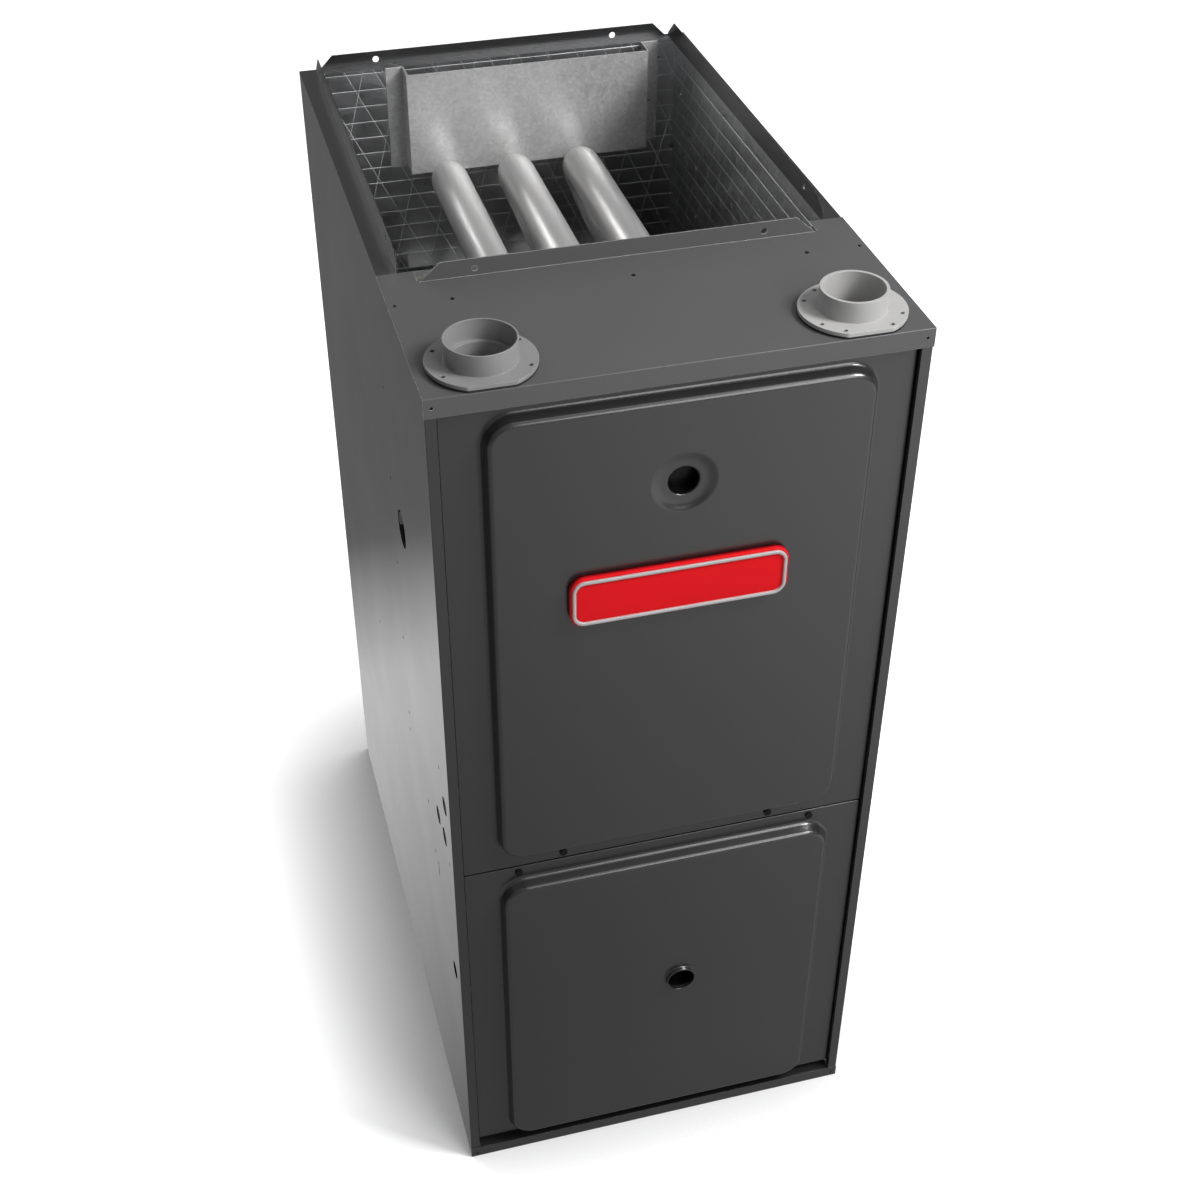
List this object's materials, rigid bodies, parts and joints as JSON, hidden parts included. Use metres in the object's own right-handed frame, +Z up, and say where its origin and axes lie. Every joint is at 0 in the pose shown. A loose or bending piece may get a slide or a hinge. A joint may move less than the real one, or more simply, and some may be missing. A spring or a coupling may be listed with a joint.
{
  "type": "forced air gas furnace",
  "caption": "Upflow condensing gas furnace: painted sheet cabinet with lift-off doors, tubular heat exchanger, coil, burners, gas valve, vent blower and circulating blower.",
  "frame": {"origin": "centre of the base, on the floor", "axes": "+X to the right seen from the front, +Y to the back, -Y the front with the doors, +Z up"},
  "size_m": [0.4456, 0.7262, 1.041],
  "materials": {
    "cabinet_paint": "satin charcoal",
    "top_paint": "satin grey",
    "galvanised": "spangled zinc",
    "foil": "foil with scrim",
    "tube_steel": "mill",
    "dark_plastic": "matte",
    "gasket_rubber": "matte",
    "vent_grey": "moulded grey",
    "vent_light": "moulded light grey",
    "pipe_white": "extruded",
    "cast_aluminium": "as cast",
    "black_pipe": "scale",
    "brass": "turned",
    "switch_red": "moulded",
    "ceramic": "fired",
    "motor_steel": "satin",
    "board_green": "solder mask",
    "white_plastic": "moulded",
    "window": "smoked",
    "badge_red": "gloss",
    "badge_silver": "satin silver",
    "screw_black": "black"
  },
  "bodies": {
    "cabinet": {"cabinet_wrap": "cabinet_paint", "top_panel": "top_paint", "toe_rail": "cabinet_paint", "base_panel": "galvanised", "blower_deck": "galvanised", "vestibule_panel": "galvanised", "wall_liners": "foil", "front_liner": "foil", "rear_baffle": "galvanised", "heat_tube_left": "tube_steel", "heat_tube_centre": "tube_steel", "heat_tube_right": "tube_steel", "collector_box": "tube_steel", "condensing_coil": "tube_steel", "coil_rails": "galvanised", "cold_header": "dark_plastic", "exhaust_flange": "vent_grey", "intake_flange": "vent_light", "vent_gaskets": "gasket_rubber", "exhaust_pipe": "pipe_white", "intake_pipe": "pipe_white", "inducer_housing": "dark_plastic", "inducer_motor": "motor_steel", "burners": "galvanised", "burner_bracket": "galvanised", "gas_manifold": "black_pipe", "gas_orifices": "brass", "gas_valve": "cast_aluminium", "igniter": "ceramic", "flame_sensor": "ceramic", "rollout_switches": "dark_plastic", "limit_switch": "dark_plastic", "pressure_switch": "motor_steel", "hoses": "gasket_rubber", "condensate_trap": "dark_plastic", "junction_box": "galvanised", "blower_housing": "galvanised", "blower_motor": "motor_steel", "motor_bracket": "galvanised", "capacitor": "cast_aluminium", "control_bracket": "galvanised", "control_board": "board_green", "transformer": "motor_steel", "door_switch": "white_plastic", "cabinet_screws": "screw_black"},
    "upper_door": {"upper_door": "cabinet_paint", "upper_sight_glass": "window", "badge_plate": "badge_red", "badge_border": "badge_silver", "upper_door_screws": "screw_black"},
    "lower_door": {"lower_door": "cabinet_paint", "lower_window": "window", "lower_door_screws": "screw_black"},
    "blower_wheel": {"blower_wheel": "galvanised"},
    "inducer_wheel": {"inducer_wheel": "dark_plastic", "inducer_fan": "white_plastic"},
    "gas_valve_switch": {"gas_valve_switch": "switch_red"},
    "reset_button_left": {"reset_button_left": "switch_red"},
    "reset_button_right": {"reset_button_right": "switch_red"},
    "door_switch_plunger": {"door_switch_plunger": "white_plastic"}
  },
  "joints": [
    {"name": "upper_door_slide", "type": "slide", "parent": "cabinet", "child": "upper_door", "axis": [0, -1, 0], "range_m": [0, 0.35]},
    {"name": "lower_door_slide", "type": "slide", "parent": "cabinet", "child": "lower_door", "axis": [0, -1, 0], "range_m": [0, 0.35]},
    {"name": "blower_spin", "type": "hinge", "parent": "cabinet", "child": "blower_wheel", "pos_m": [0, 0.06, 0.228], "axis": [1, 0, 0], "continuous": true},
    {"name": "inducer_spin", "type": "hinge", "parent": "cabinet", "child": "inducer_wheel", "pos_m": [-0.1025, -0.2141, 0.575], "axis": [0, 1, 0], "continuous": true},
    {"name": "gas_switch_tilt", "type": "hinge", "parent": "cabinet", "child": "gas_valve_switch", "pos_m": [0.1363, -0.33475, 0.827], "axis": [-1, 0, 0], "range_deg": [0, 35]},
    {"name": "reset_left_press", "type": "slide", "parent": "cabinet", "child": "reset_button_left", "axis": [0, 0, -1], "range_m": [0, 0.0015], "stiffness_N_per_m": 400},
    {"name": "reset_right_press", "type": "slide", "parent": "cabinet", "child": "reset_button_right", "axis": [0, 0, -1], "range_m": [0, 0.0015], "stiffness_N_per_m": 400},
    {"name": "door_switch_travel", "type": "slide", "parent": "cabinet", "child": "door_switch_plunger", "axis": [0, -1, 0], "range_m": [0, 0.006]}
  ],
  "couplings": [
    {"joint": "door_switch_travel", "follows": "lower_door_slide", "ratio": 0.01714}
  ]
}
